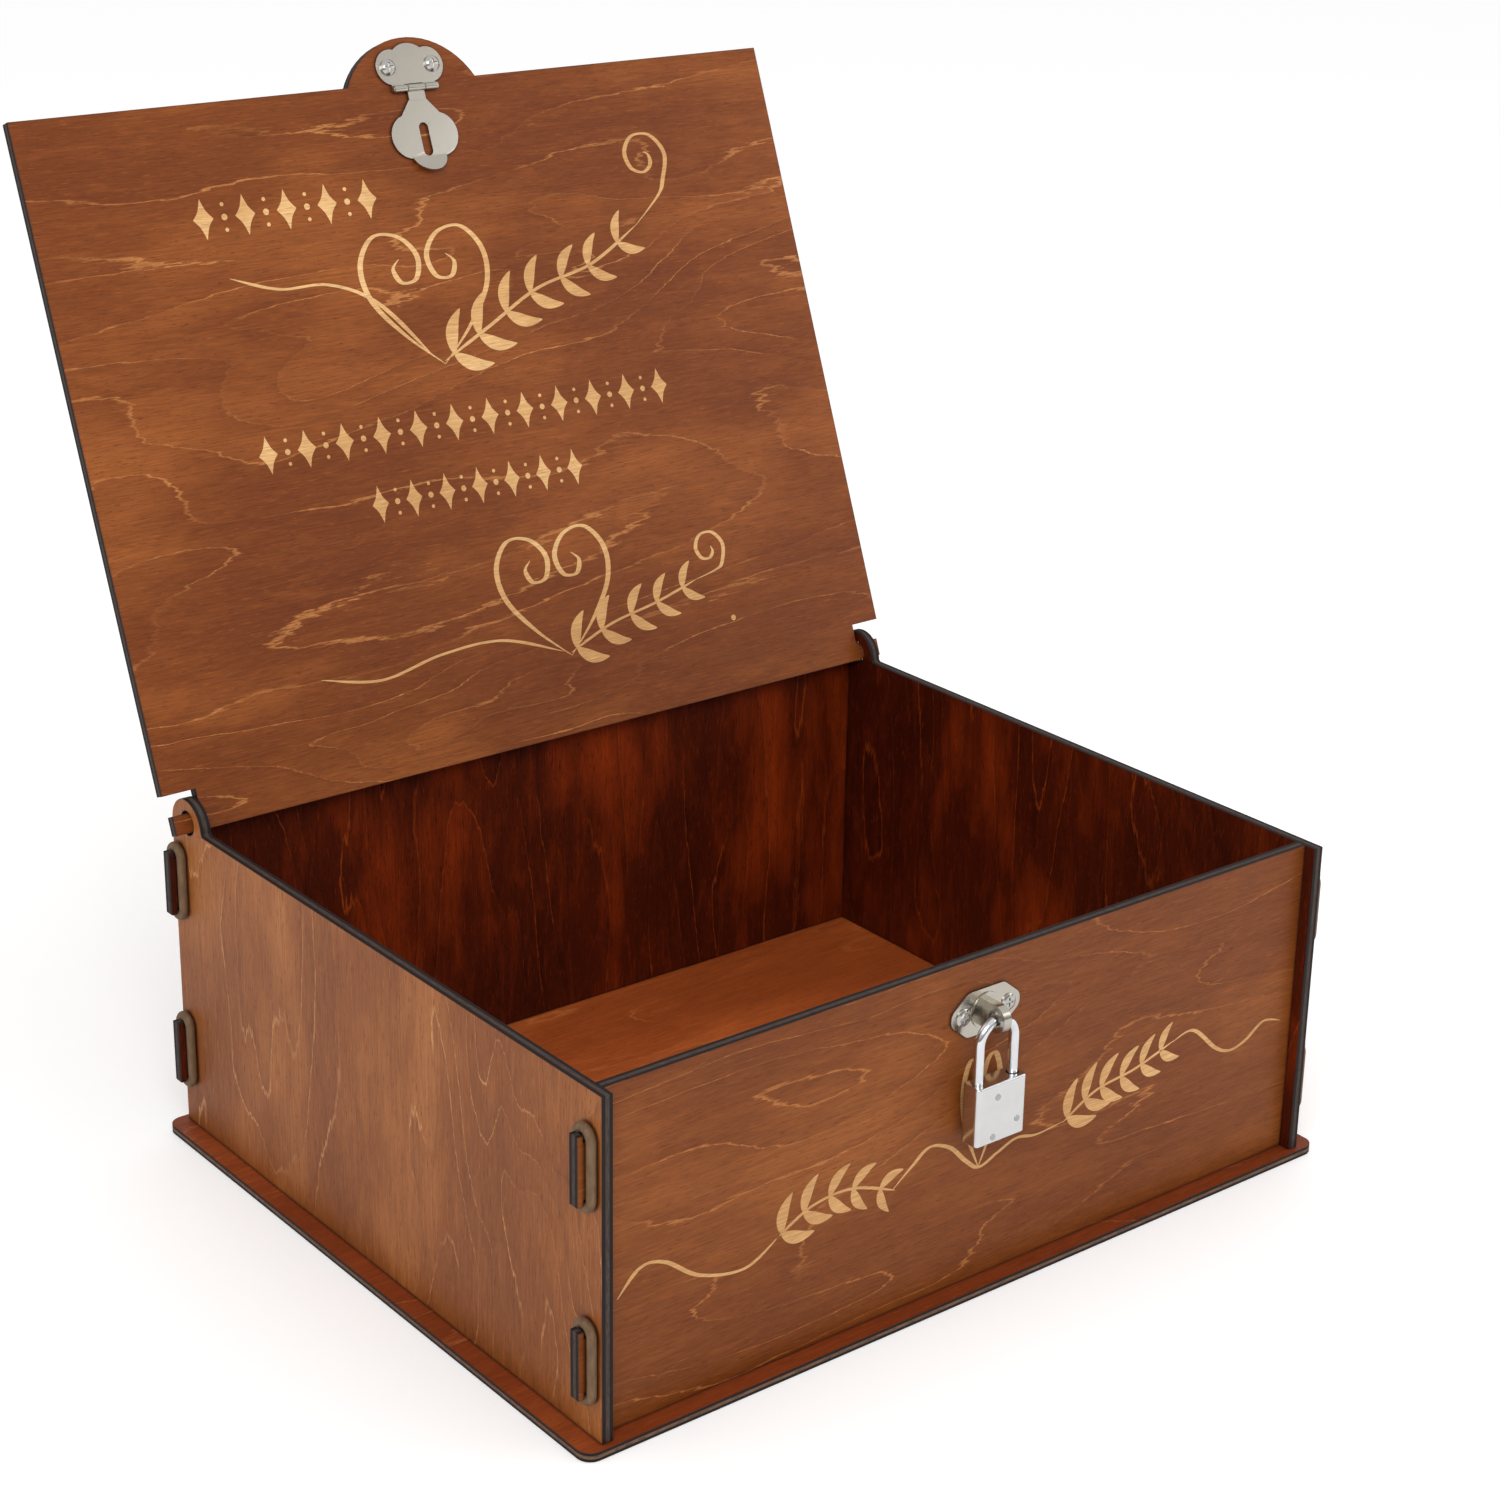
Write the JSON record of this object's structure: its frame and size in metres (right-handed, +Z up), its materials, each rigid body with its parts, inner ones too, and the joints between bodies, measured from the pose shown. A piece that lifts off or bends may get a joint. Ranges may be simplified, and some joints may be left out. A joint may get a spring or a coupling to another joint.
{
  "type": "wedding card box",
  "caption": "Shallow plywood card box with a hinged lid that leans back when open, a thumb tab with a hasp, a staple on the front and a small hanging padlock.",
  "frame": {"origin": "centre of the underside of the base panel", "axes": "+X to the right seen from the front, the front panel faces -Y, +Z up"},
  "size_m": [0.3154, 0.3415, 0.3587],
  "materials": {
    "stained_ply": "reddish brown stain, satin, charred cut edges",
    "loop_rubber": "tan, matt",
    "nickel_steel": "nickel plated, satin",
    "bright_chrome": "polished",
    "plug_brass": "satin",
    "dog_steel": "plain"
  },
  "bodies": {
    "box": {"base_panel": "stained_ply", "front_panel": "stained_ply", "back_panel": "stained_ply", "left_side_panel": "stained_ply", "right_side_panel": "stained_ply", "loop_left_front_lower": "loop_rubber", "loop_left_front_upper": "loop_rubber", "loop_left_back_lower": "loop_rubber", "loop_left_back_upper": "loop_rubber", "loop_right_front_lower": "loop_rubber", "loop_right_front_upper": "loop_rubber", "loop_right_back_lower": "loop_rubber", "loop_right_back_upper": "loop_rubber", "staple": "nickel_steel", "staple_screw_left": "nickel_steel", "staple_screw_right": "nickel_steel"},
    "lid": {"lid_panel": "stained_ply", "hasp_leaf": "nickel_steel", "hasp_pin": "nickel_steel", "hasp_screw_left": "nickel_steel", "hasp_screw_right": "nickel_steel"},
    "flap": {"hasp_flap": "nickel_steel"},
    "shackle": {"padlock_shackle": "bright_chrome"},
    "lock_case": {"padlock_body": "bright_chrome", "padlock_rivet_upper_left": "bright_chrome", "padlock_rivet_right": "bright_chrome", "padlock_rivet_lower_left": "bright_chrome"},
    "key_plug": {"padlock_plug": "plug_brass"},
    "locking_dog": {"padlock_dog": "dog_steel"}
  },
  "joints": [
    {"name": "lid_hinge", "type": "hinge", "parent": "box", "child": "lid", "pos_m": [0, 0.1142, 0.1194], "axis": [1, 0, 0], "range_deg": [0, 111.06]},
    {"name": "flap_hinge", "type": "hinge", "parent": "lid", "child": "flap", "pos_m": [0, 0.19795, 0.34194], "axis": [-1, 0, 0], "range_deg": [0, 90]},
    {"name": "padlock_swing", "type": "hinge", "parent": "box", "child": "shackle", "pos_m": [0, -0.127, 0.0984], "axis": [-1, 0, 0], "range_deg": [0, 60]},
    {"name": "case_release", "type": "slide", "parent": "shackle", "child": "lock_case", "axis": [0, 0, -1], "range_m": [0, 0.0088]},
    {"name": "key_turn", "type": "hinge", "parent": "lock_case", "child": "key_plug", "pos_m": [0, -0.127, 0.06], "axis": [0, 0, 1], "range_deg": [0, 90.5]},
    {"name": "dog_draw", "type": "slide", "parent": "lock_case", "child": "locking_dog", "axis": [-1, 0, 0], "range_m": [0, 0.0021]}
  ],
  "couplings": [
    {"joint": "key_turn", "follows": "case_release", "rad_per_m": 178.5},
    {"joint": "dog_draw", "follows": "case_release", "ratio": 0.22727}
  ]
}
